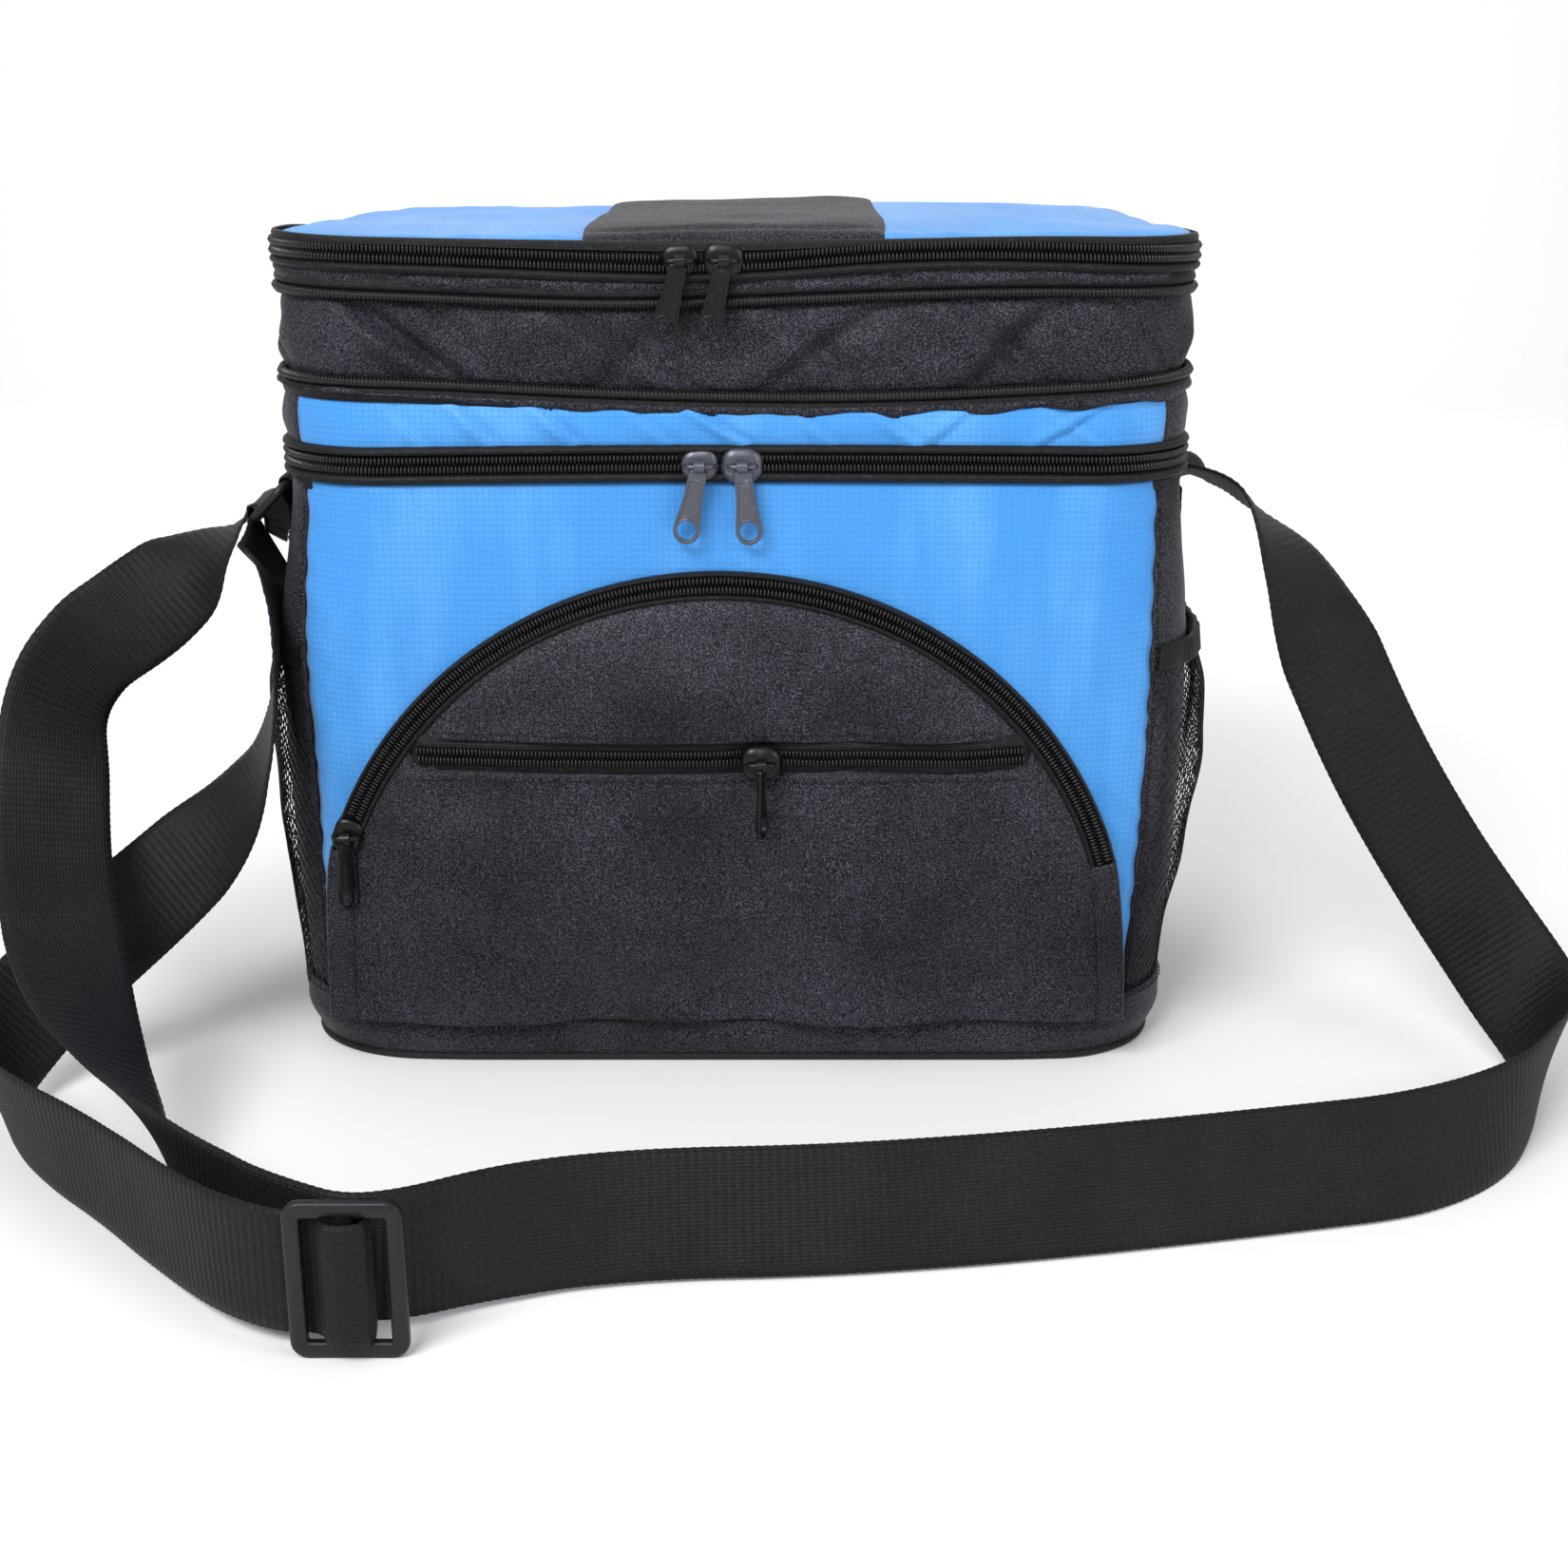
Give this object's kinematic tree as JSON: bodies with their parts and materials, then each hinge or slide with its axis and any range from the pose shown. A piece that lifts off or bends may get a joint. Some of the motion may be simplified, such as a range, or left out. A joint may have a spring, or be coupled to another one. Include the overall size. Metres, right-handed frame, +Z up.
{
  "type": "insulated cooler bag",
  "caption": "Soft-sided insulated cooler bag with two zipped compartments, an expanding top section, a D-shaped front pocket, mesh side pockets and a shoulder strap.",
  "frame": {"origin": "centre of the underside of the bag's base, without the shoulder strap", "axes": "+Z up, -Y towards the front with the D-shaped pocket, +X to the right seen from the front"},
  "size_m": [0.5357, 0.3954, 0.2918],
  "materials": {
    "black_mesh": "open diamond mesh",
    "black_metal": "black painted zinc",
    "black_plastic": "satin moulded plastic",
    "black_polyester": "black 600 denier polyester, slightly shiny",
    "black_webbing": "ribbed black polypropylene webbing",
    "blue_ripstop": "light blue ripstop polyester with a fine grid weave",
    "foam": "closed-cell foam",
    "gunmetal": "grey-black painted zinc",
    "silver_liner": "wrinkled silver lining film",
    "zip_chain": "black nylon coil on woven tape"
  },
  "bodies": {
    "bag": {"base_panel": "black_polyester", "base_band": "black_polyester", "base_board": "foam", "lower_foam": "foam", "lower_liner": "silver_liner", "lower_front_panel": "blue_ripstop", "lower_wrap_panel": "black_polyester", "mid_zip_lower": "zip_chain", "pocket_zip_outer": "zip_chain", "pocket_gusset": "black_polyester", "pocket_lower_panel": "black_polyester", "mesh_pocket_left": "black_mesh", "mesh_pocket_right": "black_mesh", "mesh_binding_left": "black_polyester", "mesh_binding_right": "black_polyester", "strap_anchor_left": "black_webbing", "strap_anchor_right": "black_webbing", "shoulder_strap": "black_webbing", "strap_doubled_end": "black_webbing", "strap_adjuster": "black_plastic"},
    "top_compartment": {"upper_front_panel": "blue_ripstop", "upper_wrap_panel": "black_polyester", "upper_foam": "foam", "upper_liner": "silver_liner", "divider_board": "foam", "expansion_panel": "black_polyester", "mid_zip_upper": "zip_chain", "expansion_zip_lower": "zip_chain"},
    "rim": {"rim_band": "black_polyester", "expansion_zip_upper": "zip_chain", "lid_zip_lower": "zip_chain"},
    "lid": {"lid_panel": "blue_ripstop", "lid_foam": "foam", "lid_liner": "silver_liner", "lid_zip_upper": "zip_chain", "handle_ends": "black_polyester"},
    "carry_handle": {"handle_grip": "black_polyester"},
    "flap": {"flap_back_sheet": "black_polyester", "flap_face_top": "black_polyester", "flap_face_low": "black_polyester", "face_zip_chain": "zip_chain", "pocket_zip_inner": "zip_chain"},
    "left_ring": {"strap_ring": "black_plastic"},
    "expansion_pull": {"expansion_pull": "black_metal"},
    "expansion_slider": {"expansion_slider": "black_metal"},
    "face_pull": {"face_pull": "black_metal"},
    "face_slider": {"face_slider": "black_metal"},
    "lid_pull_left": {"lid_pull_left": "black_metal"},
    "lid_pull_right": {"lid_pull_right": "black_metal"},
    "lid_slider_left": {"lid_slider_left": "black_metal"},
    "lid_slider_right": {"lid_slider_right": "black_metal"},
    "mid_pull_left": {"mid_pull_left": "gunmetal"},
    "mid_pull_right": {"mid_pull_right": "gunmetal"},
    "mid_slider_left": {"mid_slider_left": "gunmetal"},
    "mid_slider_right": {"mid_slider_right": "gunmetal"},
    "pocket_pull": {"pocket_pull": "black_metal"},
    "pocket_slider": {"pocket_slider": "black_metal"}
  },
  "joints": [
    {"name": "top_compartment_tilt", "type": "hinge", "parent": "bag", "child": "top_compartment", "pos_m": [0, 0.0985, 0.214], "axis": [-1, 0, 0], "range_deg": [0, 100]},
    {"name": "expansion_collapse", "type": "slide", "parent": "top_compartment", "child": "rim", "axis": [0, 0, -1], "range_m": [0, 0.022], "deforming": ["expansion_panel"]},
    {"name": "lid_open", "type": "hinge", "parent": "rim", "child": "lid", "pos_m": [0, 0.0985, 0.2794], "axis": [-1, 0, 0], "range_deg": [0, 110]},
    {"name": "handle_lift", "type": "slide", "parent": "lid", "child": "carry_handle", "axis": [0, 0, 1], "range_m": [0, 0.015]},
    {"name": "flap_fold", "type": "hinge", "parent": "bag", "child": "flap", "pos_m": [0, -0.107, 0.07], "axis": [1, 0, 0], "range_deg": [0, 70]},
    {"name": "ring_swing", "type": "hinge", "parent": "bag", "child": "left_ring", "pos_m": [-0.1575, -0.036, 0.1995], "axis": [0, 1, 0], "range_deg": [-40, 100]},
    {"name": "lid_slider_left_run", "type": "slide", "parent": "rim", "child": "lid_slider_left", "axis": [-1, 0, 0], "range_m": [0, 0.09]},
    {"name": "lid_pull_left_swing", "type": "hinge", "parent": "lid_slider_left", "child": "lid_pull_left", "pos_m": [-0.017, -0.1038, 0.2794], "axis": [-1, 0, 0], "range_deg": [0, 160]},
    {"name": "lid_slider_right_run", "type": "slide", "parent": "rim", "child": "lid_slider_right", "axis": [1, 0, 0], "range_m": [0, 0.1]},
    {"name": "lid_pull_right_swing", "type": "hinge", "parent": "lid_slider_right", "child": "lid_pull_right", "pos_m": [-0.003, -0.1038, 0.2794], "axis": [-1, 0, 0], "range_deg": [0, 160]},
    {"name": "mid_slider_left_run", "type": "slide", "parent": "bag", "child": "mid_slider_left", "axis": [-1, 0, 0], "range_m": [0, 0.095]},
    {"name": "mid_pull_left_swing", "type": "hinge", "parent": "mid_slider_left", "child": "mid_pull_left", "pos_m": [-0.0115, -0.1038, 0.214], "axis": [-1, 0, 0], "range_deg": [0, 160]},
    {"name": "mid_slider_right_run", "type": "slide", "parent": "bag", "child": "mid_slider_right", "axis": [1, 0, 0], "range_m": [0, 0.1]},
    {"name": "mid_pull_right_swing", "type": "hinge", "parent": "mid_slider_right", "child": "mid_pull_right", "pos_m": [0.0025, -0.1038, 0.214], "axis": [-1, 0, 0], "range_deg": [0, 160]},
    {"name": "pocket_slider_run", "type": "hinge", "parent": "flap", "child": "pocket_slider", "pos_m": [-0.0055, -0.1025, 0.0365], "axis": [0, 1, 0], "range_deg": [0, 135.5]},
    {"name": "pocket_pull_swing", "type": "hinge", "parent": "pocket_slider", "child": "pocket_pull", "pos_m": [-0.1339, -0.1078, 0.08708], "axis": [-1, 0, 0], "range_deg": [0, 160]},
    {"name": "face_slider_run", "type": "slide", "parent": "flap", "child": "face_slider", "axis": [-1, 0, 0], "range_m": [-0.068, 0.098]},
    {"name": "face_pull_swing", "type": "hinge", "parent": "face_slider", "child": "face_pull", "pos_m": [0.0085, -0.1166, 0.116], "axis": [-1, 0, 0], "range_deg": [0, 160]},
    {"name": "expansion_slider_run", "type": "slide", "parent": "top_compartment", "child": "expansion_slider", "axis": [-1, 0, 0], "range_m": [0, 0.17]},
    {"name": "expansion_pull_swing", "type": "hinge", "parent": "expansion_slider", "child": "expansion_pull", "pos_m": [0.07, 0.1038, 0.2416], "axis": [1, 0, 0], "range_deg": [0, 160]}
  ]
}
